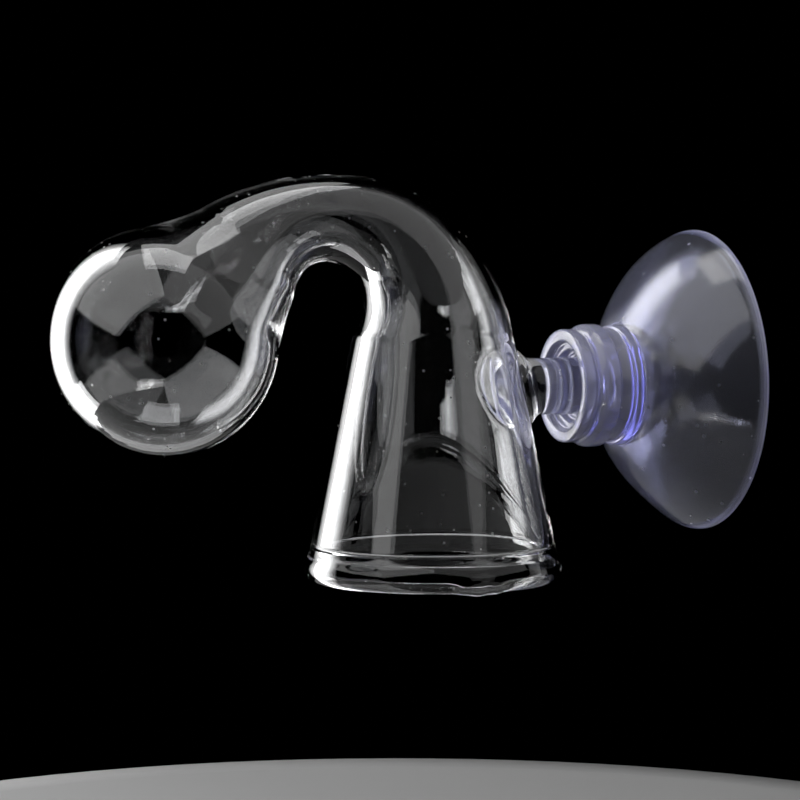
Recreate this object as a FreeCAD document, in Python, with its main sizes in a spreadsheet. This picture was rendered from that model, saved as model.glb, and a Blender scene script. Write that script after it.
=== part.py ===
import FreeCAD, Part
import os
import re
import Sketcher

# Carbon dioxide drop checker held on a tank wall by a suction cup. Millimetres and degrees.
#
# Frame: the origin is the centre of the cup's rim, on the plane that touches the tank wall.
# +X points out of the tank through the wall, +Z is up, and the stud's axis runs along X,
# a little below the rim's centre, because the soft collar droops under the glass.
#
# The glass vessel follows one centreline in the XZ plane. It runs up the bell's upright axis,
# turns over through one arc (the bend) and goes down in a straight line to the bulb's centre.

SIZES = [
    # suction cup, distances are measured from the tank wall
    ("rim_radius", 17.5, "outside of the rim, where it lies on the wall"),
    ("rim_width", 0.9, "flat ring that touches the wall"),
    ("rim_depth", 0.9, "thickness of the rim ring"),
    ("rim_flare", 0.2, "how much the rim widens towards the wall"),
    ("dome_edge", 0.65, "skin thickness where the dome meets the rim"),
    ("dome_depth", 10.1, "wall to the back of the collar"),
    ("dome_floor", 8.7, "wall to the inside of the cup at its centre"),
    ("dome_floor_radius", 5.2, "flat part inside the cup"),
    ("dome_arc", 20.0, "radius of the dome's outer curve"),
    ("dome_inner_arc", 19.0, "radius of the dome's inner curve"),
    ("collar_front", 17.4, "wall to the collar's front face"),
    ("flange_radius", 6.9, "flange next to the dome"),
    ("flange_front", 11.2, "wall to the front of that flange"),
    ("waist_radius", 6.45, "broad groove"),
    ("rib_radius", 7.05, "broad rib in the middle"),
    ("rib_back", 13.05, "wall to the back of the broad rib"),
    ("rib_front", 15.5, "wall to the front of the broad rib"),
    ("groove_radius", 6.1, "narrow groove behind the nose"),
    ("nose_back", 16.0, "wall to the back of the nose ring"),
    ("nose_radius", 6.5, "nose ring at the front face"),
    ("collar_round", 0.25, "rounding of the ribs"),
    ("rib_round", 0.8, "rounding of the broad rib's front edge"),
    ("recess_radius", 5.1, "mouth of the socket"),
    ("recess_depth", 1.0, "first step of the socket"),
    ("step_radius", 4.1, "second step of the socket"),
    ("step_depth", 2.0, "where the socket's bore starts"),
    ("socket_end", 11.8, "wall to the blind end of the socket"),
    ("socket_clearance", 0.05, "radial gap between stud and socket"),
    # stud and its weld pad
    ("stud_drop", 0.35, "the soft collar droops: rim centre down to the stud's axis"),
    ("stud_radius", 3.25, "solid glass rod"),
    ("stud_end", 12.2, "wall to the rod's tip"),
    ("stud_round", 1.0, "rounding of the rod's tip"),
    ("flare_end", 20.2, "wall to the narrow end of the pad's flare"),
    ("flare_start", 22.6, "wall to the wide end of the pad's flare"),
    ("flare_arc", 3.5, "radius of the flare's hollow curve"),
    ("pad_neck", 4.35, "radius at the wide end of the flare"),
    ("pad_radius", 4.45, "radius of the pad on the bell"),
    ("pad_back", 26.0, "pad's blank end, inside the bell's outline"),
    # bell, heights are measured from the bottom of the lip
    ("bell_axis", 33.45, "wall to the bell's axis"),
    ("mouth_drop", 21.89, "rim centre down to the bottom of the lip"),
    ("shoulder_height", 27.6, "where the bend starts"),
    ("shoulder_radius", 9.08, "outside of the bell there"),
    ("bell_angle", 11.33, "half angle of the bell's cone"),
    ("bell_wall", 1.4, "glass thickness of the bell, measured level"),
    ("lip_height", 3.4, "height of the lip section"),
    ("bead_radius", 1.3, "round bead of the fire-polished lip"),
    ("bead_centre", 13.28, "radius of the circle the bead follows"),
    ("bead_angle", 40.0, "where the bead runs into the wall, above level"),
    # neck
    ("bend_radius", 13.2, "radius of the centreline's arc"),
    ("bend_angle", 135.5, "turn of the centreline's arc"),
    ("bulb_reach", 13.3, "straight run from the end of the arc to the bulb's centre"),
    ("apex_radius", 4.76, "outside of the neck at its highest point"),
    ("neck_wall", 1.6, "glass thickness at the highest point"),
    ("bore_shift", 0.4, "how far the bore lies outward in the bend"),
    # bulb
    ("bulb_radius", 12.5, "outside of the bulb"),
    ("bulb_wall", 1.2, "glass thickness of the bulb"),
    ("bulb_mouth_angle", 33.5, "latitude where the neck leaves the bulb"),
]

# round sections of the neck along the bend, and along the straight run to the bulb
ARC_STEPS = 12
RUN_STEPS = 6

doc = FreeCAD.newDocument("drop_checker")
sheet = doc.addObject("Spreadsheet::Sheet", "Sizes")
for row, (alias, size, note) in enumerate(SIZES, start=1):
    sheet.set(f"A{row}", note)
    sheet.set(f"B{row}", str(size))
    sheet.setAlias(f"B{row}", alias)
doc.recompute()


def cell(formula):
    """Put the sheet's name before each alias in a formula."""
    aliases = {alias for alias, size, note in SIZES}
    return re.sub(r"\b[a-z_]+\b", lambda word: f"Sizes.{word[0]}" if word[0] in aliases else word[0],
                  formula)


def number(formula):
    """The present value of a formula, as a plain number."""
    found = sheet.evalExpression(cell(formula))
    return float(getattr(found, "Value", found))


def bind(thing, **formulas):
    """Bind properties of an object to formulas of the sheet."""
    for name, formula in formulas.items():
        thing.setExpression(name.replace("__", "."), cell(formula))


def stand(thing, x, z, turn):
    """Place an object in the XZ plane and turn it about Y."""
    upright = FreeCAD.Rotation(FreeCAD.Vector(0, 1, 0), number(turn))
    thing.Placement = FreeCAD.Placement(FreeCAD.Vector(number(x), 0, number(z)), upright)
    bind(thing, Placement__Base__x=x, Placement__Base__z=z, Placement__Rotation__Angle=turn)


# ---------------------------------------------------------------- turned parts

def arc_between(first, last, radius, turn):
    """The shorter arc from first to last; turn is 1 for counter-clockwise and -1 for clockwise."""
    chord = last - first
    middle = (first + last) * 0.5
    rise = (radius ** 2 - (chord.Length / 2) ** 2) ** 0.5
    side = FreeCAD.Vector(-chord.y, chord.x, 0).normalize()
    centre = middle + side * (rise * turn)
    crown = centre - side * (radius * turn)
    return Part.Arc(first, crown, last)


def fix_point(sketch, geometry, end, formula, axis):
    """Hold one end of a line at a formula's distance from the sketch's origin."""
    if formula == "0":
        across = -2 if axis == "X" else -1
        sketch.addConstraint(Sketcher.Constraint("PointOnObject", geometry, end, across))
        return
    rule = Sketcher.Constraint(f"Distance{axis}", -1, 1, geometry, end, number(formula))
    place = sketch.addConstraint(rule)
    sketch.setExpression(f"Constraints[{place}]", cell(formula))


def turned(label, corners, arcs=None):
    """A body turned about its own Z. corners are (radius, height) formulas, in order round the
    section. arcs gives, for the side that leaves a corner, its radius formula and its turn."""
    arcs = arcs or {}
    body = doc.addObject("PartDesign::Body", label)
    sketch = body.newObject("Sketcher::SketchObject", f"{label}_section")
    plane = [item for item in body.Origin.OriginFeatures if item.Role == "XZ_Plane"][0]
    sketch.AttachmentSupport = [(plane, "")]
    sketch.MapMode = "FlatFace"

    points = [FreeCAD.Vector(number(radius), number(height), 0) for radius, height in corners]
    ends = []
    for index, first in enumerate(points):
        last = points[(index + 1) % len(points)]
        if index in arcs:
            radius, turn = arcs[index]
            edge = arc_between(first, last, number(radius), turn)
        else:
            edge = Part.LineSegment(first, last)
        place = sketch.addGeometry(edge, False)
        start_end = 1 if sketch.getPoint(place, 1).distanceToPoint(first) < 1e-6 else 2
        ends.append((place, start_end, 3 - start_end))

    for index, (place, first_end, last_end) in enumerate(ends):
        following = ends[(index + 1) % len(ends)]
        joined = Sketcher.Constraint("Coincident", place, last_end, following[0], following[1])
        sketch.addConstraint(joined)
    for (radius, height), (place, first_end, last_end) in zip(corners, ends):
        fix_point(sketch, place, first_end, radius, "X")
        fix_point(sketch, place, first_end, height, "Y")
    for index, (radius, turn) in arcs.items():
        rule = sketch.addConstraint(Sketcher.Constraint("Radius", ends[index][0], number(radius)))
        sketch.setExpression(f"Constraints[{rule}]", cell(radius))

    revolution = body.newObject("PartDesign::Revolution", f"{label}_turn")
    revolution.Profile = sketch
    revolution.ReferenceAxis = (sketch, ["V_Axis"])
    revolution.Angle = 360
    sketch.Visibility = False
    body.Label = label
    doc.recompute()
    return body


def round_edges(body, size, corners):
    """Round the circular edges of a turned body that lie at these (radius, height) corners."""
    base = body.Tip
    wanted = [(number(radius), number(height)) for radius, height in corners]
    names = []
    for place, edge in enumerate(base.Shape.Edges, start=1):
        if not isinstance(edge.Curve, Part.Circle):
            continue
        found = (edge.Curve.Radius, edge.Curve.Center.z)
        if any(abs(found[0] - corner[0]) + abs(found[1] - corner[1]) < 0.01 for corner in wanted):
            names.append(f"Edge{place}")
    fillet = body.newObject("PartDesign::Fillet", f"{body.Name}_{size}")
    fillet.Base = (base, names)
    bind(fillet, Radius=size)
    doc.recompute()


# ---------------------------------------------------------------- suction cup

def facing_wall(body, drop="0"):
    """Turn a part's Z towards the tank, so that its heights are distances from the wall."""
    stand(body, "0", f"-1 * {drop}", "-90")
    return body


def make_cup_rim():
    """The ring that lies on the tank wall."""
    outer = "rim_radius"
    inner = "rim_radius - rim_width"
    back = "rim_radius - rim_flare"
    return facing_wall(turned("cup_rim", [
        (inner, "0"),
        (outer, "0"),
        (back, "rim_depth"),
        (f"{back} - dome_edge", "rim_depth"),
    ]))


def make_cup_dome():
    """The thin bowl that flexes when the cup is pressed on."""
    return facing_wall(turned("cup_dome", [
        ("0", "dome_floor"),
        ("dome_floor_radius", "dome_floor"),
        ("rim_radius - rim_flare - dome_edge", "rim_depth"),
        ("rim_radius - rim_flare", "rim_depth"),
        ("flange_radius", "dome_depth"),
        ("0", "dome_depth"),
    ], {1: ("dome_inner_arc", -1), 3: ("dome_arc", 1)}))


def make_cup_collar():
    """The thick ribbed collar with the stepped blind socket for the stud."""
    bore = "stud_radius + socket_clearance"
    collar = turned("cup_collar", [
        ("0", "dome_depth"),
        ("flange_radius", "dome_depth"),
        ("flange_radius", "flange_front"),
        ("waist_radius", "flange_front"),
        ("waist_radius", "rib_back"),
        ("rib_radius", "rib_back"),
        ("rib_radius", "rib_front"),
        ("groove_radius", "rib_front"),
        ("groove_radius", "nose_back"),
        ("nose_radius", "nose_back"),
        ("nose_radius", "collar_front"),
        ("recess_radius", "collar_front"),
        ("recess_radius", "collar_front - recess_depth"),
        ("step_radius", "collar_front - recess_depth"),
        ("step_radius", "collar_front - step_depth"),
        (bore, "collar_front - step_depth"),
        (bore, "socket_end"),
        ("0", "socket_end"),
    ])
    round_edges(collar, "rib_round", [("rib_radius", "rib_front")])
    round_edges(collar, "collar_round", [
        ("flange_radius", "flange_front"),
        ("rib_radius", "rib_back"),
        ("nose_radius", "nose_back"),
        ("nose_radius", "collar_front"),
    ])
    return facing_wall(collar, "stud_drop")


# ---------------------------------------------------------------- stud

def make_stud():
    """The solid rod that sits in the socket, with a melted round tip."""
    stud = turned("stud", [
        ("0", "stud_end"),
        ("stud_radius", "stud_end"),
        ("stud_radius", "flare_end"),
        ("0", "flare_end"),
    ])
    round_edges(stud, "stud_round", [("stud_radius", "stud_end")])
    return facing_wall(stud, "stud_drop")


def make_stud_foot():
    """The flared pad that is melted on to the bell, ending on the bell's outer surface."""
    blank = facing_wall(turned("stud_foot_blank", [
        ("0", "flare_end"),
        ("stud_radius", "flare_end"),
        ("pad_neck", "flare_start"),
        ("pad_radius", "pad_back"),
        ("0", "pad_back"),
    ], {1: ("flare_arc", -1)}), "stud_drop")
    cone = doc.addObject("Part::Cone", "bell_outline")
    bind(cone, Radius1="shoulder_radius + shoulder_height * tan(bell_angle * 1deg)",
         Radius2="shoulder_radius", Height="shoulder_height")
    stand(cone, "-1 * bell_axis", "-1 * mouth_drop", "0")
    foot = doc.addObject("Part::Cut", "stud_foot")
    foot.Base = blank
    foot.Tool = cone
    foot.Label = "stud_foot"
    return foot


# ---------------------------------------------------------------- bell

def on_bell_axis(body):
    stand(body, "-1 * bell_axis", "-1 * mouth_drop", "0")
    return body


def bell_radius(height):
    """Outer radius of the bell's cone at a height."""
    return f"shoulder_radius + (shoulder_height - {height}) * tan(bell_angle * 1deg)"


def make_bell():
    """The open cone of even wall between the lip and the bend."""
    low = bell_radius("lip_height")
    return on_bell_axis(turned("bell", [
        (f"{low} - bell_wall", "lip_height"),
        (low, "lip_height"),
        ("shoulder_radius", "shoulder_height"),
        ("shoulder_radius - bell_wall", "shoulder_height"),
    ]))


def make_bell_lip():
    """The thick round edge of the mouth, which runs up into the wall on both sides."""
    low = bell_radius("lip_height")
    reach = "bead_radius * cos(bead_angle * 1deg)"
    rise = "bead_radius + bead_radius * sin(bead_angle * 1deg)"
    return on_bell_axis(turned("bell_lip", [
        (f"{low} - bell_wall", "lip_height"),
        (f"bead_centre - {reach}", rise),
        ("bead_centre - bead_radius", "bead_radius"),
        ("bead_centre", "0"),
        ("bead_centre + bead_radius", "bead_radius"),
        (f"bead_centre + {reach}", rise),
        (low, "lip_height"),
    ], {place: ("bead_radius", 1) for place in (1, 2, 3, 4)}))


# ---------------------------------------------------------------- neck and bulb

MOUTH_REACH = "bulb_radius * sin(bulb_mouth_angle * 1deg)"
MOUTH_RADIUS = "bulb_radius * cos(bulb_mouth_angle * 1deg)"
MOUTH_INNER = f"sqrt((bulb_radius - bulb_wall) ^ 2 - ({MOUTH_REACH}) ^ 2)"
RUN_LENGTH = f"(bulb_reach - {MOUTH_REACH})"
BEND_HEIGHT = "(shoulder_height - mouth_drop)"


def centreline(turn, run):
    """Point of the centreline after part of the arc, then part of the straight run."""
    x = (f"-1 * bell_axis - bend_radius + bend_radius * cos({turn} * 1deg) "
         f"- {run} * sin({turn} * 1deg)")
    z = f"{BEND_HEIGHT} + bend_radius * sin({turn} * 1deg) + {run} * cos({turn} * 1deg)"
    return x, z


def neck_radii(turn, run):
    """Outer radius and wall. From the highest point the neck widens as a parabola to the bulb,
    and with a level start and the cone's slope at the end to the bell."""
    if number(turn) < 90:
        part = f"(1 - {turn} / 90)"
        length = "bend_radius * pi / 2"
        widening = f"(shoulder_radius - apex_radius) * {part} ^ 2 * (3 - 2 * {part})"
        slope = f"tan(bell_angle * 1deg) * {length} * {part} ^ 2 * ({part} - 1)"
        wall = f"neck_wall + (bell_wall - neck_wall) * {part}"
        return f"apex_radius + {widening} + {slope}", wall
    length = f"(bend_radius * (bend_angle - 90) * pi / 180 + {RUN_LENGTH})"
    part = f"((bend_radius * ({turn} - 90) * pi / 180 + {run}) / {length})"
    outer = f"apex_radius + ({MOUTH_RADIUS} - apex_radius) * {part} ^ 2"
    wall = f"neck_wall + ({MOUTH_RADIUS} - {MOUTH_INNER} - neck_wall) * {part}"
    return outer, wall


def neck_stations():
    """Turn, straight run and outward shift of the bore at each section of the neck."""
    for step in range(ARC_STEPS + 1):
        turn = f"(bend_angle * {step} / {ARC_STEPS})"
        yield turn, "0", f"bore_shift * sin(180deg * {step} / {ARC_STEPS})"
    for step in range(1, RUN_STEPS + 1):
        yield "bend_angle", f"({RUN_LENGTH} * {step} / {RUN_STEPS})", "0"


def neck_skin(name, hollow):
    """A smooth solid through round sections: the neck's outside, or its bore."""
    rings = []
    for place, (turn, run, shift) in enumerate(neck_stations()):
        x, z = centreline(turn, run)
        outer, wall = neck_radii(turn, run)
        if hollow:
            x = f"{x} + {shift} * cos({turn} * 1deg)"
            z = f"{z} + {shift} * sin({turn} * 1deg)"
        ring = doc.addObject("Part::Circle", f"{name}_ring_{place}")
        bind(ring, Radius=f"{outer} - ({wall})" if hollow else outer)
        stand(ring, x, z, f"-1 * {turn}")
        rings.append(ring)
    skin = doc.addObject("Part::Loft", name)
    skin.Sections = rings
    skin.Solid = True
    skin.Ruled = False
    return skin


def make_swan_neck():
    """The tube that turns over from the bell to the bulb, narrowest at its highest point."""
    neck = doc.addObject("Part::Cut", "swan_neck")
    neck.Base = neck_skin("neck_outside", hollow=False)
    neck.Tool = neck_skin("neck_bore", hollow=True)
    neck.Label = "swan_neck"
    return neck


def make_bulb():
    """The blown ball, open where the neck leaves it."""
    x, z = centreline("bend_angle", "bulb_reach")
    outside = doc.addObject("Part::Sphere", "bulb_outside")
    bind(outside, Radius="bulb_radius", Angle2="bulb_mouth_angle")
    hollow = doc.addObject("Part::Sphere", "bulb_hollow")
    bind(hollow, Radius="bulb_radius - bulb_wall")
    for ball in (outside, hollow):
        stand(ball, x, z, "180 - bend_angle")
    bulb = doc.addObject("Part::Cut", "bulb")
    bulb.Base = outside
    bulb.Tool = hollow
    bulb.Label = "bulb"
    return bulb


# ---------------------------------------------------------------- build, test and write

parts = [
    make_cup_rim(),
    make_cup_dome(),
    make_cup_collar(),
    make_stud(),
    make_stud_foot(),
    make_bell(),
    make_bell_lip(),
    make_swan_neck(),
    make_bulb(),
]
doc.recompute()

for thing in doc.Objects:
    if "Invalid" in thing.State or "Error" in thing.State:
        raise RuntimeError(f"{thing.Label} failed: {thing.State}")
for part in parts:
    if part.Shape.isNull() or not part.Shape.isValid() or len(part.Shape.Solids) != 1:
        raise RuntimeError(f"{part.Label} is not one valid solid")

os.makedirs("parts", exist_ok=True)
for part in parts:
    part.Shape.exportStep(f"parts/{part.Label}.step")
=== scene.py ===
from math import atan2, cos, exp, hypot, pi, radians, sin, sqrt, tan

import bmesh
import bpy
from mathutils import Matrix, Vector


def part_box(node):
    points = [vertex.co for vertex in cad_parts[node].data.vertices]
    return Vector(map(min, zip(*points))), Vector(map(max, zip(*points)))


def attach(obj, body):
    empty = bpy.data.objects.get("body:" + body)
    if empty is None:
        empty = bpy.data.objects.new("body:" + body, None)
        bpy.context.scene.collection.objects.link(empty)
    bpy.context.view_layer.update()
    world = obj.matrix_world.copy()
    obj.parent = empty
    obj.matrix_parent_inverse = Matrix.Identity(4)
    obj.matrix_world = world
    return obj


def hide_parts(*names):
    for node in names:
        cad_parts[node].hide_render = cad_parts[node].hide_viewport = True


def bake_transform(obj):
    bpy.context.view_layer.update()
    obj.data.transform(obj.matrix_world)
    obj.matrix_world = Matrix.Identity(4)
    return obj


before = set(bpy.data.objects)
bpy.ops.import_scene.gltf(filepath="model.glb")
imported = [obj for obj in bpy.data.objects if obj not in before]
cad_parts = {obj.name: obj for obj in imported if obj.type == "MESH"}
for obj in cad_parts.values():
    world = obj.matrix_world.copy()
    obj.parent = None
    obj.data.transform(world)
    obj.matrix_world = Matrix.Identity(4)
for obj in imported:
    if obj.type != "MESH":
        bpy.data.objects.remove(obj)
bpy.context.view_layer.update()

# A clear glass drop checker in a soft violet suction cup. Lengths below are in millimetres and are
# turned into metres only where a mesh, a light or the camera is made. X points at the tank wall.

MM = 0.001


def corners(node):
    """Lowest and highest corner of a CAD node, in millimetres."""
    low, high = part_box(node)
    return low / MM, high / MM


# ------------------------------------------------------------------ sizes from the frame

bulb_low, bulb_high = corners("bulb")
neck_high = corners("swan_neck")[1]
bell_low, bell_high = corners("bell")
lip_low, lip_high = corners("bell_lip")
stud_low, stud_high = corners("stud")
collar_low, collar_high = corners("cup_collar")
dome_low, dome_high = corners("cup_dome")
rim_low, rim_high = corners("cup_rim")

BULB_RADIUS = bulb_high.y
BULB_CENTRE = Vector((bulb_low.x + BULB_RADIUS, 0, bulb_low.z + BULB_RADIUS))
BELL_X = (lip_low.x + lip_high.x) / 2
BASE_Z = lip_low.z
LIP_TOP_Z = bell_low.z
SHOULDER_Z = bell_high.z
LIP_RADIUS = lip_high.y
BELL_SLOPE = tan(radians(11.33))
SHOULDER_RADIUS = bell_high.y - (SHOULDER_Z - LIP_TOP_Z) * BELL_SLOPE
BEND_RADIUS = 13.2
BEND_TURN = radians(135.5)
APEX_RADIUS = neck_high.z - SHOULDER_Z - BEND_RADIUS
STUD_RADIUS = stud_high.y
STUD_TIP_X = stud_high.x
STUD_Z = (stud_low.z + stud_high.z) / 2
COLLAR_Z = (collar_low.z + collar_high.z) / 2

BULB_WALL = 1.2
NECK_WALL = 1.6
BELL_WALL = 1.4
BORE_SHIFT = 0.4


# ------------------------------------------------------------------ curves and meshes

def ease(part):
    """A value from 0 to 1 that starts and ends level."""
    part = min(1.0, max(0.0, part))
    return part ** 2 * (3 - 2 * part)


def smooth_curve(points, steps):
    """A cubic B-spline that starts and ends at the first and last control point."""
    control = [points[0]] * 2 + list(points) + [points[-1]] * 2
    curve = []
    for span in range(len(control) - 3):
        before, first, second, after = control[span:span + 4]
        for step in range(steps):
            t = step / steps
            weights = (
                (1 - t) ** 3 / 6,
                (3 * t ** 3 - 6 * t ** 2 + 4) / 6,
                (-3 * t ** 3 + 3 * t ** 2 + 3 * t + 1) / 6,
                t ** 3 / 6,
            )
            curve.append(tuple(
                sum(weight * point[axis] for weight, point in zip(weights, (before, first, second, after)))
                for axis in (0, 1)))
    curve.append(tuple(points[-1]))
    return curve


def rounded_path(points, radius, steps=4):
    """A path of straight runs whose inner corners are rounded."""
    path = [points[0]]
    for before, corner, after in zip(points, points[1:], points[2:]):
        corner = Vector(corner)
        back = Vector(before) - corner
        ahead = Vector(after) - corner
        cut = min(radius, back.length * 0.48, ahead.length * 0.48)
        start = corner + back.normalized() * cut
        end = corner + ahead.normalized() * cut
        for step in range(steps + 1):
            t = step / steps
            place = start * (1 - t) ** 2 + corner * 2 * t * (1 - t) + end * t ** 2
            path.append(tuple(place))
    path.append(points[-1])
    return path


def arc_path(start, end, radius, turn, steps):
    """Points along the shorter arc; turn is 1 for counter-clockwise and -1 for clockwise."""
    start = Vector(start)
    end = Vector(end)
    chord = end - start
    side = Vector((-chord.y, chord.x)).normalized()
    centre = (start + end) / 2 + side * turn * sqrt(radius ** 2 - (chord.length / 2) ** 2)
    first = atan2(start.y - centre.y, start.x - centre.x)
    sweep = atan2(end.y - centre.y, end.x - centre.x) - first
    sweep = (sweep + pi) % (2 * pi) - pi
    path = []
    for step in range(steps + 1):
        angle = first + sweep * step / steps
        path.append((centre.x + radius * cos(angle), centre.y + radius * sin(angle)))
    return path


class Skin:
    """Collects rings of points and the faces between them, then makes one smooth closed mesh."""

    def __init__(self):
        self.points = []
        self.marks = []
        self.faces = []

    def point(self, place, mark=(0.0, 0.0, 0.0)):
        """Add a point; its mark is a vector that the material reads."""
        self.points.append(tuple(place))
        self.marks.append(mark)
        return len(self.points) - 1

    def ring(self, places, along=0.0):
        """Add a ring of points, marked with their bearing round it and its distance along the piece."""
        turn = 2 * pi / len(places)
        return [self.point(place, (cos(turn * column), sin(turn * column), along))
                for column, place in enumerate(places)]

    def bridge(self, first, second, skip=()):
        """Quads between two rings of equal count, leaving out the columns in skip."""
        count = len(first)
        for column in range(count):
            if column in skip:
                continue
            following = (column + 1) % count
            self.faces.append((first[column], first[following], second[following], second[column]))

    def cap(self, ring, place):
        """Close a ring with triangles to one point."""
        tip = self.point(place)
        for column in range(len(ring)):
            self.faces.append((ring[column], ring[(column + 1) % len(ring)], tip))

    def make(self, name):
        """The collected points and faces as an object of the scene, in metres."""
        mesh = bpy.data.meshes.new(name)
        mesh.from_pydata([tuple(value * MM for value in place) for place in self.points], [], self.faces)
        marks = mesh.attributes.new("mark", "FLOAT_VECTOR", "POINT")
        marks.data.foreach_set("vector", [value for mark in self.marks for value in mark])
        work = bmesh.new()
        work.from_mesh(mesh)
        loose = [corner for corner in work.verts if not corner.link_faces]
        bmesh.ops.delete(work, geom=loose, context="VERTS")
        bmesh.ops.recalc_face_normals(work, faces=work.faces)
        work.to_mesh(mesh)
        work.free()
        mesh.shade_smooth()
        piece = bpy.data.objects.new(name, mesh)
        bpy.context.scene.collection.objects.link(piece)
        return piece


# ------------------------------------------------------------------ glass vessel

COLUMNS = 192
RUN_ALONG = Vector((-sin(BEND_TURN), 0, cos(BEND_TURN)))
RUN_OUT = Vector((cos(BEND_TURN), 0, sin(BEND_TURN)))
BEND_CENTRE = Vector((BELL_X - BEND_RADIUS, 0, SHOULDER_Z))
BEND_END = BEND_CENTRE + RUN_OUT * BEND_RADIUS
BULB_REACH = (BULB_CENTRE - BEND_END).dot(RUN_ALONG)
MOUTH_ANGLE = radians(33.5)
BORE_MOUTH_ANGLE = radians(37.7)
MOUTH_REACH = BULB_RADIUS * sin(MOUTH_ANGLE)
MOUTH_RADIUS = BULB_RADIUS * cos(MOUTH_ANGLE)
RUN_LENGTH = BULB_REACH - MOUTH_REACH
HIGHEST = pi / 2
LIP_BLEND = 0.3
WELD_RADIUS = 3.9
WELD_BULGE = 0.7
FLARE_WIDTH = 1.5
PATCH_LOW_Z = -6.0
SKIN_UNEVENNESS = 0.02
BORE_UNEVENNESS = 0.04
BALL_UNEVENNESS = 0.05


def cone_radius(z):
    """Outside of the bell at a height."""
    return SHOULDER_RADIUS + (SHOULDER_Z - z) * BELL_SLOPE


def neck_radius(turn, run):
    """Outside of the neck: a parabola from the highest point to the bulb, and towards the bell a
    curve that ends with the cone's slope."""
    if turn < HIGHEST:
        part = 1 - turn / HIGHEST
        widening = (SHOULDER_RADIUS - APEX_RADIUS) * part ** 2 * (3 - 2 * part)
        slope = BELL_SLOPE * BEND_RADIUS * HIGHEST * part ** 2 * (part - 1)
        return APEX_RADIUS + widening + slope
    reach = BEND_RADIUS * (turn - HIGHEST) + run
    whole = BEND_RADIUS * (BEND_TURN - HIGHEST) + RUN_LENGTH
    return APEX_RADIUS + (MOUTH_RADIUS - APEX_RADIUS) * (reach / whole) ** 2


def neck_wall(turn, run):
    """Glass thickness, greatest at the highest point."""
    if turn < HIGHEST:
        return NECK_WALL + (BELL_WALL - NECK_WALL) * (1 - turn / HIGHEST)
    reach = BEND_RADIUS * (turn - HIGHEST) + run
    whole = BEND_RADIUS * (BEND_TURN - HIGHEST) + RUN_LENGTH
    return NECK_WALL + (BULB_WALL * 1.22 - NECK_WALL) * (reach / whole) ** 8


def unevenness(angle, along, depth):
    """Slow swelling of hand-worked glass round a ring and along the tube."""
    return depth * (
        0.7 * sin(2 * angle + along / 9.0)
        + 0.3 * sin(3 * angle - along / 7.0 + 1.1)
    )


# where the worked glass stands out of its true round: side of the bend (1 outward, -1 inward),
# distance along the centreline from the shoulder, half length and height
SWELLS = (
    (1, 3.0, 4.0, -0.2),
    (1, 13.4, 6.0, 0.3),
    (1, 43.0, 8.0, 0.35),
    (-1, 8.5, 5.5, -0.4),
    (-1, 29.5, 5.0, 0.35),
)


def swelling(angle, along):
    """How far the outside stands out at one place of the bend or the bulb."""
    height = 0.0
    for side, middle, half, tall in SWELLS:
        height += tall * max(0.0, side * cos(angle)) ** 2 * exp(-((along - middle) / half) ** 2)
    return height


def tube_ring(centre, out, radius, along, depth=0.0):
    """Points of one ring square to the centreline; column 0 is on the outward side."""
    places = []
    for column in range(COLUMNS):
        angle = 2 * pi * column / COLUMNS
        reach = radius + unevenness(angle, along, depth) + swelling(angle, along)
        places.append(centre + out * reach * cos(angle) + Vector((0, reach * sin(angle), 0)))
    return places


def neck_rings(inside):
    """Rings over the bend and down the straight run, from the bell to the bulb's mouth, each with
    its distance along the centreline."""
    bend_steps = 90
    run_steps = 18
    stops = [(BEND_TURN * step / bend_steps, 0.0) for step in range(1, bend_steps + 1)]
    stops += [(BEND_TURN, RUN_LENGTH * step / run_steps) for step in range(1, run_steps + 1)]
    for turn, run in stops:
        out = Vector((cos(turn), 0, sin(turn)))
        centre = BEND_CENTRE + out * BEND_RADIUS + RUN_ALONG * run
        radius = neck_radius(turn, run)
        along = BEND_RADIUS * turn + run
        settle = min(1.0, along / 6.0)
        if inside:
            radius -= neck_wall(turn, run)
            centre = centre + out * BORE_SHIFT * sin(pi * turn / BEND_TURN) ** 2
            yield tube_ring(centre, out, radius, along, BORE_UNEVENNESS * settle), along
        else:
            yield tube_ring(centre, out, radius, along, SKIN_UNEVENNESS * settle), along


def ball_rings(inside):
    """Rings of the bulb from its mouth almost to its far pole."""
    radius = BULB_RADIUS - BULB_WALL if inside else BULB_RADIUS
    mouth = BORE_MOUTH_ANGLE if inside else MOUTH_ANGLE
    steps = 64
    for step in range(1, steps):
        latitude = mouth - (mouth + HIGHEST) * step / steps
        centre = BULB_CENTRE - RUN_ALONG * radius * sin(latitude)
        along = BEND_RADIUS * BEND_TURN + RUN_LENGTH + radius * (mouth - latitude)
        depth = (BALL_UNEVENNESS if inside else SKIN_UNEVENNESS) * cos(latitude) ** 2
        yield tube_ring(centre, RUN_OUT, radius * cos(latitude), along, depth), along


def bell_rings(inside):
    """Level rings of the bell from just above the lip to the shoulder. The wall is thicker behind
    the stud's weld."""
    low = LIP_TOP_Z + LIP_BLEND
    out = Vector((1, 0, 0))
    steps = 60
    for step in range(steps + 1):
        z = low + (SHOULDER_Z - low) * step / steps
        centre = Vector((BELL_X, 0, z))
        radius = cone_radius(z)
        along = z - SHOULDER_Z
        if inside:
            settle = min(1.0, (z - low) / 4.0)
            places = tube_ring(centre, out, radius - BELL_WALL, along, BORE_UNEVENNESS * settle)
            for place in places:
                if place.x > BELL_X:
                    place.x -= WELD_BULGE * exp(-(hypot(place.y, z - STUD_Z) / WELD_RADIUS) ** 6)
            yield places, along
        else:
            yield tube_ring(centre, out, radius, along), along


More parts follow.
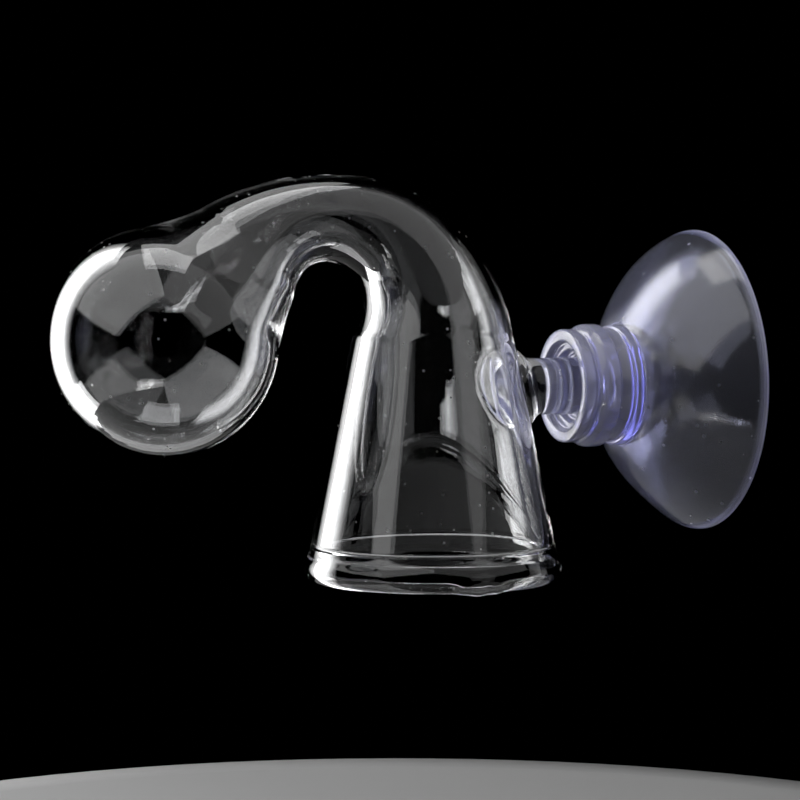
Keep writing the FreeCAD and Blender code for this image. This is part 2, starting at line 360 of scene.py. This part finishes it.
# the small clear lump left on the near side of the lip, as three mounds: bearing round the bell, bearing
# round the bead, height in millimetres, and half widths along each bearing
NIB_MOUNDS = (
    (-1.62, -1.25, 0.62, 0.085, 0.55),
    (-1.47, -1.05, 0.45, 0.07, 0.5),
    (-1.74, -0.9, 0.35, 0.06, 0.5),
)
NIB_DEPTH = 0.6


def nib(angle, bead_angle):
    """Height of the lump at one bearing round the bell and one round the bead."""
    height = 0.0
    for middle, bead_middle, tall, wide, round_wide in NIB_MOUNDS:
        across = ((angle + pi) % (2 * pi) - pi - middle) / wide
        round_bead = (bead_angle - bead_middle) / round_wide
        height += tall * exp(-across ** 2 - round_bead ** 2)
    return height


def lip_rings():
    """Rings round the fire-polished lip, a flare of nearly even wall, from inside the bell to outside."""
    top = LIP_TOP_Z + LIP_BLEND
    outer_top = cone_radius(top)
    shape = smooth_curve([
        (outer_top - BELL_WALL, top),
        (cone_radius(top - 0.5) - BELL_WALL, top - 0.5),
        (cone_radius(top - 1.0) - BELL_WALL + 0.02, top - 1.0),
        (LIP_RADIUS - 1.5, BASE_Z + 1.9),
        (LIP_RADIUS - 1.35, BASE_Z + 0.8),
        (LIP_RADIUS - 1.5, BASE_Z - 0.3),
        (LIP_RADIUS - 0.6, BASE_Z - 0.3),
        (LIP_RADIUS + 0.25, BASE_Z + 0.6),
        (LIP_RADIUS + 0.1, BASE_Z + 1.7),
        (cone_radius(top - 1.0) + 0.05, top - 1.0),
        (cone_radius(top - 0.5), top - 0.5),
        (outer_top, top),
    ], 6)
    middle = Vector((LIP_RADIUS - 1.3, BASE_Z + 1.3))
    lowest = min(z for radius, z in shape)
    widest = max(radius for radius, z in shape)
    for radius, z in shape[1:-1]:
        bead_angle = atan2(z - middle.y, radius - middle.x)
        near_bead = exp(-((z - BASE_Z - 1.0) / 1.6) ** 2)
        radius += (LIP_RADIUS - widest) * near_bead
        z += (BASE_Z + 0.15 - lowest) * near_bead
        places = []
        for column in range(COLUMNS):
            angle = 2 * pi * column / COLUMNS
            lump = nib(angle, bead_angle)
            wave = 0.05 * near_bead * sin(3 * angle + 0.7)
            reach = radius + wave + lump * cos(bead_angle)
            height = z + NIB_DEPTH * lump * sin(bead_angle)
            places.append((BELL_X + reach * cos(angle), reach * sin(angle), height))
        yield places


PATCH_COLUMNS = 20


def stud_rings(edge):
    """Rings from the bell's patch edge in to the weld, out over its flare and along the rod."""
    bearings = [atan2(z - STUD_Z, y) for x, y, z in edge]
    start_radius = STUD_RADIUS + FLARE_WIDTH

    def on_cone(y, z):
        return BELL_X + sqrt(cone_radius(z) ** 2 - y ** 2)

    steps = 9
    for step in range(1, steps + 1):
        part = step / steps
        ring = []
        for (x, y, z), bearing in zip(edge, bearings):
            y = y * (1 - part) + start_radius * cos(bearing) * part
            z = z * (1 - part) + (STUD_Z + start_radius * sin(bearing)) * part
            ring.append((on_cone(y, z), y, z))
        yield ring

    flare = smooth_curve([
        (start_radius, 0.0),
        (STUD_RADIUS + 1.3, 0.0),
        (STUD_RADIUS + 1.15, 0.05),
        (STUD_RADIUS + 1.18, 0.45),
        (STUD_RADIUS + 1.0, 0.85),
        (STUD_RADIUS + 0.45, 1.25),
        (STUD_RADIUS + 0.1, 1.7),
        (STUD_RADIUS, 2.2),
        (STUD_RADIUS, 2.8),
    ], 4)
    for radius, rise in flare[1:]:
        ring = []
        for bearing in bearings:
            y = radius * cos(bearing)
            z = STUD_Z + radius * sin(bearing)
            ring.append((on_cone(y, z) + rise, y, z))
        yield ring
    leaning = ring

    level_x = -19.0
    rod = [(level_x, STUD_RADIUS)]
    rod += [(level_x + (STUD_TIP_X - 1.0 - level_x) * step / 10, STUD_RADIUS) for step in range(1, 11)]
    rod += [(STUD_TIP_X - 1.0 + sin(radians(bend)), STUD_RADIUS - 1.0 + cos(radians(bend)))
            for bend in range(10, 91, 10)]
    rod += [(STUD_TIP_X, radius) for radius in (1.8, 1.2, 0.6)]
    half = [((x + level_x) / 2, y, z) for x, y, z in leaning]
    yield half
    for x, radius in rod:
        yield [(x, radius * cos(bearing), STUD_Z + radius * sin(bearing)) for bearing in bearings]


def make_vessel():
    """Bulb, neck, bell, lip and stud as one continuous skin of glass, with its hollow inside."""
    skin = Skin()
    inner = [skin.ring(*ring) for ring in bell_rings(inside=True)]
    inner += [skin.ring(*ring) for ring in neck_rings(inside=True)]
    inner += [skin.ring(*ring) for ring in ball_rings(inside=True)]
    for first, second in zip(inner, inner[1:]):
        skin.bridge(first, second)
    skin.cap(inner[-1], BULB_CENTRE + RUN_ALONG * (BULB_RADIUS - BULB_WALL))

    # the bell's outside, with a patch left open where the stud is melted on
    outer = [skin.ring(*ring) for ring in bell_rings(inside=False)]
    last = len(outer) - 1
    first_patch = max(row for row, ring in enumerate(outer) if skin.points[ring[0]][2] < PATCH_LOW_Z)
    open_columns = {column % COLUMNS for column in range(-PATCH_COLUMNS, PATCH_COLUMNS)}
    for row in range(last):
        skin.bridge(outer[row], outer[row + 1], open_columns if first_patch <= row < last else ())

    edge = [outer[first_patch][column] for column in range(-PATCH_COLUMNS, PATCH_COLUMNS)]
    edge += [outer[row][PATCH_COLUMNS] for row in range(first_patch, last)]
    edge += [outer[last][column] for column in range(PATCH_COLUMNS, -PATCH_COLUMNS, -1)]
    edge += [outer[row][-PATCH_COLUMNS] for row in range(last, first_patch, -1)]
    previous = edge
    for places in stud_rings([skin.points[index] for index in edge]):
        ring = skin.ring(places)
        skin.bridge(previous, ring)
        previous = ring
    skin.cap(previous, (STUD_TIP_X, 0, STUD_Z))

    over = [outer[last]]
    over += [skin.ring(*ring) for ring in neck_rings(inside=False)]
    over += [skin.ring(*ring) for ring in ball_rings(inside=False)]
    for first, second in zip(over, over[1:]):
        skin.bridge(first, second)
    skin.cap(over[-1], BULB_CENTRE + RUN_ALONG * BULB_RADIUS)

    previous = inner[0]
    for places in lip_rings():
        ring = skin.ring(places)
        skin.bridge(previous, ring)
        previous = ring
    skin.bridge(previous, outer[0])
    return skin.make("glass_vessel")


# ------------------------------------------------------------------ suction cup

CUP_COLUMNS = 160
DOME_RISE = 0.4


def cup_section():
    """(distance from the wall, radius) from the socket's blind end round to the cup's floor."""
    front = -collar_low.x
    back = -dome_low.x
    rim = -rim_low.x
    socket = rounded_path([
        (11.8, 0.0), (11.8, 3.3), (front - 2.0, 3.3), (front - 2.0, 4.1), (front - 1.0, 4.1),
        (front - 1.0, 5.1), (front, 5.1), (front, 6.5), (16.0, 6.5), (15.9, 6.1), (15.55, 6.1), (15.4, 6.5),
        (14.7, collar_high.y), (13.05, collar_high.y), (13.0, 6.45), (11.25, 6.45), (11.2, 6.9),
        (back + 0.1, 6.9), (back - 0.1, 7.2),
    ], 0.32)
    outside = arc_path((back - 0.1, 7.2), (rim, dome_high.y), 20.0, 1, 40)
    edge = rounded_path([
        (rim, dome_high.y), (0.45, rim_high.y - 0.05), (0.0, rim_high.y), (0.0, rim_high.y - 0.8),
        (rim, dome_high.y - 0.65),
    ], 0.25)
    inside = arc_path((rim, dome_high.y - 0.65), (8.7, 5.2), 19.0, -1, 40)
    floor = rounded_path([(8.7, 5.2), (8.7, 4.0), (8.7, 2.0), (8.7, 0.0)], 0.4)
    return socket[:-1] + outside[:-1] + edge[1:-1] + inside + floor[1:]


def make_cup():
    """Collar, dome and rim as one soft moulding, matt outside the dome and bright inside it."""
    skin = Skin()
    section = cup_section()
    rings = []
    outside = section.index(max(section, key=lambda point: point[1]))
    collar_end = -collar_high.x
    for row, (distance, radius) in enumerate(section[1:-1]):
        matt = 1.0 if row < outside and distance < -dome_low.x else 0.0
        thick = max(ease((distance - 9.0) / 2.0), 1 - ease((distance - 0.3) / 0.6))
        places = []
        for column in range(CUP_COLUMNS):
            angle = 2 * pi * column / CUP_COLUMNS
            soft = min(1.0, max(0.0, (radius - 7.0) / 6.0))
            reach = radius - 0.06 * soft * (1 + sin(3 * angle + distance / 3.0)) / 2
            droop = COLLAR_Z * ease(distance / collar_end)
            droop += DOME_RISE * sin(pi * min(1.0, distance / collar_end)) ** 2
            places.append((-distance, reach * cos(angle), droop + reach * sin(angle)))
        rings.append([skin.point(place, (matt, thick, 0.0)) for place in places])
    for first, second in zip(rings, rings[1:]):
        skin.bridge(first, second)
    skin.cap(rings[0], (-section[0][0], 0, COLLAR_Z))
    skin.cap(rings[-1], (-section[-1][0], 0, COLLAR_Z))
    return skin.make("suction_cup")


# ------------------------------------------------------------------ materials

def new_material(name):
    """A node material, its tree and its main shader."""
    material = bpy.data.materials.new(name)
    material.use_nodes = True
    tree = material.node_tree
    shader = next(node for node in tree.nodes if node.type == "BSDF_PRINCIPLED")
    return material, tree, shader


def ramp(tree, source, low, high, dark, light):
    """Map a value from low..high to dark..light and clamp it."""
    node = tree.nodes.new("ShaderNodeMapRange")
    for name, value in (("From Min", low), ("From Max", high), ("To Min", dark), ("To Max", light)):
        node.inputs[name].default_value = value
    tree.links.new(source, node.inputs["Value"])
    return node.outputs["Result"]


def noise(tree, place, scale, detail=2.0, roughness=0.5):
    """Soft random values at each place; a larger scale is finer."""
    node = tree.nodes.new("ShaderNodeTexNoise")
    node.inputs["Scale"].default_value = scale
    node.inputs["Detail"].default_value = detail
    node.inputs["Roughness"].default_value = roughness
    tree.links.new(place, node.inputs["Vector"])
    return node.outputs["Fac"]


def combine(tree, operation, first, second):
    """The result of one maths step on two values or outputs."""
    node = tree.nodes.new("ShaderNodeMath")
    node.operation = operation
    for socket, value in zip(node.inputs, (first, second)):
        if isinstance(value, (int, float)):
            socket.default_value = value
        else:
            tree.links.new(value, socket)
    return node.outputs[0]


def specks(tree, place, scale, size, share):
    """Small round dots, one in a share of the cells of a grid of points."""
    cells = tree.nodes.new("ShaderNodeTexVoronoi")
    cells.inputs["Scale"].default_value = scale
    tree.links.new(place, cells.inputs["Vector"])
    dots = ramp(tree, cells.outputs["Distance"], size * 0.5, size, 1.0, 0.0)
    split = tree.nodes.new("ShaderNodeSeparateColor")
    tree.links.new(cells.outputs["Color"], split.inputs["Color"])
    chosen = ramp(tree, split.outputs["Red"], share, share + 0.01, 1.0, 0.0)
    return combine(tree, "MULTIPLY", dots, chosen)


def marks_of(tree, scale):
    """The mesh's own mark vector, stretched by a scale for each axis."""
    source = tree.nodes.new("ShaderNodeAttribute")
    source.attribute_name = "mark"
    stretch = tree.nodes.new("ShaderNodeVectorMath")
    stretch.operation = "MULTIPLY"
    stretch.inputs[1].default_value = scale
    tree.links.new(source.outputs["Vector"], stretch.inputs[0])
    return stretch.outputs["Vector"]


def add_bump(tree, shader, height, strength, distance):
    """Let a height pattern tilt the shader's surface; distance is in millimetres."""
    bump = tree.nodes.new("ShaderNodeBump")
    bump.inputs["Strength"].default_value = strength
    bump.inputs["Distance"].default_value = distance * MM
    tree.links.new(height, bump.inputs["Height"])
    tree.links.new(bump.outputs["Normal"], shader.inputs["Normal"])


def glass_material():
    """Clear borosilicate glass, fire polished, with faint draw lines, dust and water marks."""
    material, tree, shader = new_material("clear_glass")
    place = tree.nodes.new("ShaderNodeTexCoord").outputs["Object"]
    dust = specks(tree, place, 900, 0.16, 0.10)
    marks = ramp(tree, noise(tree, place, 420, 5.0, 0.7), 0.68, 0.74, 0.0, 1.0)
    where = ramp(tree, noise(tree, place, 95), 0.60, 0.68, 0.0, 1.0)
    dirt = combine(tree, "MAXIMUM", dust, combine(tree, "MULTIPLY", marks, where))
    haze = ramp(tree, noise(tree, place, 60, 3.0), 0.35, 0.75, 0.0, 0.012)
    rough = combine(tree, "MAXIMUM", haze, combine(tree, "MULTIPLY", dirt, 0.55))
    tree.links.new(rough, shader.inputs["Roughness"])
    fine_lines = noise(tree, marks_of(tree, (22.0, 22.0, 0.06)), 1.0, 1.0)
    broad_lines = noise(tree, marks_of(tree, (6.0, 6.0, 0.04)), 1.0, 0.0)
    fine_share = combine(tree, "MULTIPLY", fine_lines, 0.15)
    broad_share = combine(tree, "MULTIPLY", broad_lines, 0.5)
    lines = combine(tree, "ADD", fine_share, broad_share)
    swell = combine(tree, "ADD", lines, combine(tree, "MULTIPLY", dirt, 0.4))
    add_bump(tree, shader, swell, 0.2, 0.05)
    shader.inputs["Base Color"].default_value = (0.985, 0.99, 1.0, 1.0)
    shader.inputs["IOR"].default_value = 1.47
    shader.inputs["Transmission Weight"].default_value = 1.0
    return material


def pvc_material():
    """Soft clear vinyl with a violet cast: milky where it is thick, with dust and a faint pressed grain."""
    material, tree, shader = new_material("violet_soft_pvc")
    place = tree.nodes.new("ShaderNodeTexCoord").outputs["Object"]
    mark = tree.nodes.new("ShaderNodeSeparateXYZ")
    tree.links.new(marks_of(tree, (1.0, 1.0, 1.0)), mark.inputs["Vector"])
    matt = mark.outputs["X"]
    thick = mark.outputs["Y"]
    dust = specks(tree, place, 700, 0.17, 0.16)
    cloud = ramp(tree, noise(tree, place, 160, 4.0, 0.6), 0.3, 0.75, 0.04, 0.09)
    cloud = combine(tree, "ADD", cloud, combine(tree, "MULTIPLY", matt, 0.08))
    rough = combine(tree, "MAXIMUM", cloud, combine(tree, "MULTIPLY", dust, 0.7))
    tree.links.new(rough, shader.inputs["Roughness"])
    fine_grain = combine(tree, "MULTIPLY", noise(tree, place, 2400, 2.0), 0.03)
    grain = combine(tree, "ADD", noise(tree, place, 240, 2.0), fine_grain)
    add_bump(tree, shader, grain, 0.25, 0.06)
    colour = tree.nodes.new("ShaderNodeCombineColor")
    for channel, thin_tone, thick_tone in (("Red", 0.86, 0.80), ("Green", 0.89, 0.81), ("Blue", 1.0, 1.0)):
        tree.links.new(ramp(tree, thick, 0.0, 1.0, thin_tone, thick_tone), colour.inputs[channel])
    tree.links.new(colour.outputs["Color"], shader.inputs["Base Color"])
    tree.links.new(ramp(tree, thick, 0.0, 1.0, 0.97, 0.72), shader.inputs["Transmission Weight"])
    shader.inputs["IOR"].default_value = 1.53
    tint = tree.nodes.new("ShaderNodeVolumeAbsorption")
    tint.inputs["Color"].default_value = (0.46, 0.47, 0.95, 1.0)
    tint.inputs["Density"].default_value = 200.0
    milk = tree.nodes.new("ShaderNodeVolumeScatter")
    milk.inputs["Color"].default_value = (0.93, 0.94, 1.0, 1.0)
    milk.inputs["Density"].default_value = 60.0
    body = tree.nodes.new("ShaderNodeAddShader")
    tree.links.new(tint.outputs["Volume"], body.inputs[0])
    tree.links.new(milk.outputs["Volume"], body.inputs[1])
    output = next(node for node in tree.nodes if node.type == "OUTPUT_MATERIAL")
    tree.links.new(body.outputs["Shader"], output.inputs["Volume"])
    return material


def floor_material():
    """Matt pale board with a barely uneven tone."""
    material, tree, shader = new_material("pale_floor")
    place = tree.nodes.new("ShaderNodeTexCoord").outputs["Object"]
    tone = ramp(tree, noise(tree, place, 14, 4.0), 0.2, 0.8, 0.22, 0.25)
    colour = tree.nodes.new("ShaderNodeCombineColor")
    for channel in ("Red", "Green", "Blue"):
        tree.links.new(tone, colour.inputs[channel])
    tree.links.new(colour.outputs["Color"], shader.inputs["Base Color"])
    shader.inputs["Roughness"].default_value = 0.8
    return material


# ------------------------------------------------------------------ stage, light and camera

VIEW_AZIMUTH = radians(-23.2)
VIEW_ELEVATION = radians(3.5)
VIEW_DISTANCE = 360.0
VIEW_TARGET = Vector((-37.48, 0, -1.48))
VIEW_LENS = 144.4
FLOOR_X = -38.0
FLOOR_Z = -58.0
FLOOR_RADIUS = 92.0
FLOOR_THICKNESS = 3.0


def direction(azimuth, elevation):
    """Unit vector from the object towards a viewer at these angles."""
    return Vector((
        sin(azimuth) * cos(elevation),
        -cos(azimuth) * cos(elevation),
        sin(elevation),
    ))


def face(thing, target, about=Vector((0, 0, 1))):
    """Turn a lamp or the camera to its target, with its sides square to the axis about."""
    back = (thing.location - target).normalized()
    side = about.cross(back).normalized()
    thing.rotation_euler = Matrix((side, back.cross(side), back)).transposed().to_euler()


def make_camera():
    """The camera, nearly level and a little to the bulb's side."""
    camera = bpy.data.objects.new("camera", bpy.data.cameras.new("camera"))
    camera.data.lens = VIEW_LENS
    camera.data.clip_start = 0.01
    camera.location = (VIEW_TARGET + direction(VIEW_AZIMUTH, VIEW_ELEVATION) * VIEW_DISTANCE) * MM
    face(camera, VIEW_TARGET * MM)
    bpy.context.scene.collection.objects.link(camera)
    bpy.context.scene.camera = camera


def make_floor():
    """The round pale board below the object."""
    rows = 12
    columns = 96
    skin = Skin()
    centre = Vector((FLOOR_X, 0, FLOOR_Z))
    rings = []
    for row in range(1, rows + 1):
        radius = FLOOR_RADIUS * row / rows
        rings.append(skin.ring([
            centre + Vector((cos(2 * pi * column / columns), sin(2 * pi * column / columns), 0)) * radius
            for column in range(columns)]))
    for first, second in zip(rings, rings[1:]):
        skin.bridge(first, second)
    skin.cap(rings[0], centre)
    rim = [skin.points[index] for index in rings[-1]]
    lower = skin.ring([(x, y, z - FLOOR_THICKNESS) for x, y, z in rim])
    skin.bridge(rings[-1], lower)
    skin.cap(lower, centre - Vector((0, 0, FLOOR_THICKNESS)))
    floor = skin.make("pale_floor")
    floor.data.materials.append(floor_material())


def panel(name, left, up, distance, width, height, radiance, target, round_lens=False):
    """A soft rectangular light. left and up are its angles from the camera's direction, in degrees,
    and radiance is how bright its face is. round_lens lays it like a petal round the lens."""
    lamp = bpy.data.lights.new(name, "AREA")
    lamp.shape = "RECTANGLE"
    lamp.size = width * MM
    lamp.size_y = height * MM
    lamp.energy = radiance * pi * lamp.size * lamp.size_y
    lamp_object = bpy.data.objects.new(name, lamp)
    way = direction(VIEW_AZIMUTH - radians(left), radians(up))
    lamp_object.location = (target + way * distance) * MM
    if round_lens:
        face(lamp_object, target * MM, direction(VIEW_AZIMUTH, VIEW_ELEVATION))
    else:
        face(lamp_object, target * MM)
    lamp_object.visible_camera = False
    bpy.context.scene.collection.objects.link(lamp_object)


def softbox_material(width, core, radiance):
    """Light that fades from its core to its sides. It glints in the clear pieces and lights them, but
    isn't seen straight through them: it is off for a ray that has only passed through surfaces."""
    material = bpy.data.materials.new("softbox")
    material.use_nodes = True
    tree = material.node_tree
    tree.nodes.clear()
    across = tree.nodes.new("ShaderNodeSeparateXYZ")
    tree.links.new(tree.nodes.new("ShaderNodeTexCoord").outputs["Object"], across.inputs["Vector"])
    reach = combine(tree, "ABSOLUTE", across.outputs["X"], 0.0)
    glow = ramp(tree, reach, core / 2 * MM, width / 2 * MM, radiance, 0.0)
    rays = tree.nodes.new("ShaderNodeLightPath")
    passed = combine(tree, "GREATER_THAN", rays.outputs["Transmission Depth"], 0.5)
    other_bounces = combine(tree, "SUBTRACT", rays.outputs["Ray Depth"], rays.outputs["Transmission Depth"])
    only_passed = combine(tree, "MULTIPLY", passed, combine(tree, "LESS_THAN", other_bounces, 0.5))
    strength = combine(tree, "MULTIPLY", glow, combine(tree, "SUBTRACT", 1.0, only_passed))
    emission = tree.nodes.new("ShaderNodeEmission")
    tree.links.new(strength, emission.inputs["Strength"])
    output = tree.nodes.new("ShaderNodeOutputMaterial")
    tree.links.new(emission.outputs["Emission"], output.inputs["Surface"])
    return material


def make_softbox(left, up, distance, width, height, core, radiance, target):
    """The tall bright softbox behind the glass to the left, with soft sides."""
    mesh = bpy.data.meshes.new("key_softbox")
    signs = ((-1, -1), (1, -1), (1, 1), (-1, 1))
    places = [(side * width / 2 * MM, end * height / 2 * MM, 0) for side, end in signs]
    mesh.from_pydata(places, [], [(0, 1, 2, 3)])
    mesh.materials.append(softbox_material(width, core, radiance))
    softbox = bpy.data.objects.new("key_softbox", mesh)
    softbox.location = (target + direction(VIEW_AZIMUTH - radians(left), radians(up)) * distance) * MM
    face(softbox, target * MM)
    softbox.visible_camera = False
    bpy.context.scene.collection.objects.link(softbox)


def make_lights():
    bell = Vector((BELL_X, 0, 0))
    bulb = BULB_CENTRE
    middle = Vector((-45.0, 0, 0))
    make_softbox(121, 3, 200, 145, 480, 50, 6.5, bell)
    panel("key_foot", 112, -38, 185, 45, 90, 7.0, bulb)
    panel("rim_strip", -112, 3, 330, 90, 420, 0.4, middle)
    panel("upper_left_panel", 63, 47, 320, 430, 430, 1.6, middle, round_lens=True)
    panel("upper_right_panel", -60, 47, 320, 400, 400, 0.6, middle, round_lens=True)
    panel("lower_left_panel", 57, -45, 130, 150, 120, 1.0, middle, round_lens=True)
    panel("lower_right_panel", -57, -45, 130, 150, 120, 0.4, middle, round_lens=True)
    panel("top_panel", 180, 84, 260, 150, 150, 3.0, middle)
    for facet in range(5):
        panel("small_lamp", 12 + 8 * cos(2.4 * facet), -46 + 7 * sin(2.4 * facet), 120, 30, 26, 4.0, bulb)


def set_scene():
    scene = bpy.context.scene
    world = bpy.data.worlds.new("dark_room")
    world.use_nodes = True
    background = next(node for node in world.node_tree.nodes if node.type == "BACKGROUND")
    background.inputs["Color"].default_value = (0.0, 0.0, 0.0, 1.0)
    scene.world = world
    scene.view_settings.view_transform = "Standard"
    scene.cycles.max_bounces = 24
    scene.cycles.transmission_bounces = 24
    scene.cycles.glossy_bounces = 12


# ------------------------------------------------------------------ build

set_scene()
make_camera()
make_lights()
make_floor()

vessel = make_vessel()
vessel.data.materials.append(glass_material())
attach(vessel, "glass")
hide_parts("bulb", "swan_neck", "bell", "bell_lip", "stud_foot", "stud")

cup = make_cup()
cup.data.materials.append(pvc_material())
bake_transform(cup)
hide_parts("cup_rim", "cup_dome", "cup_collar")
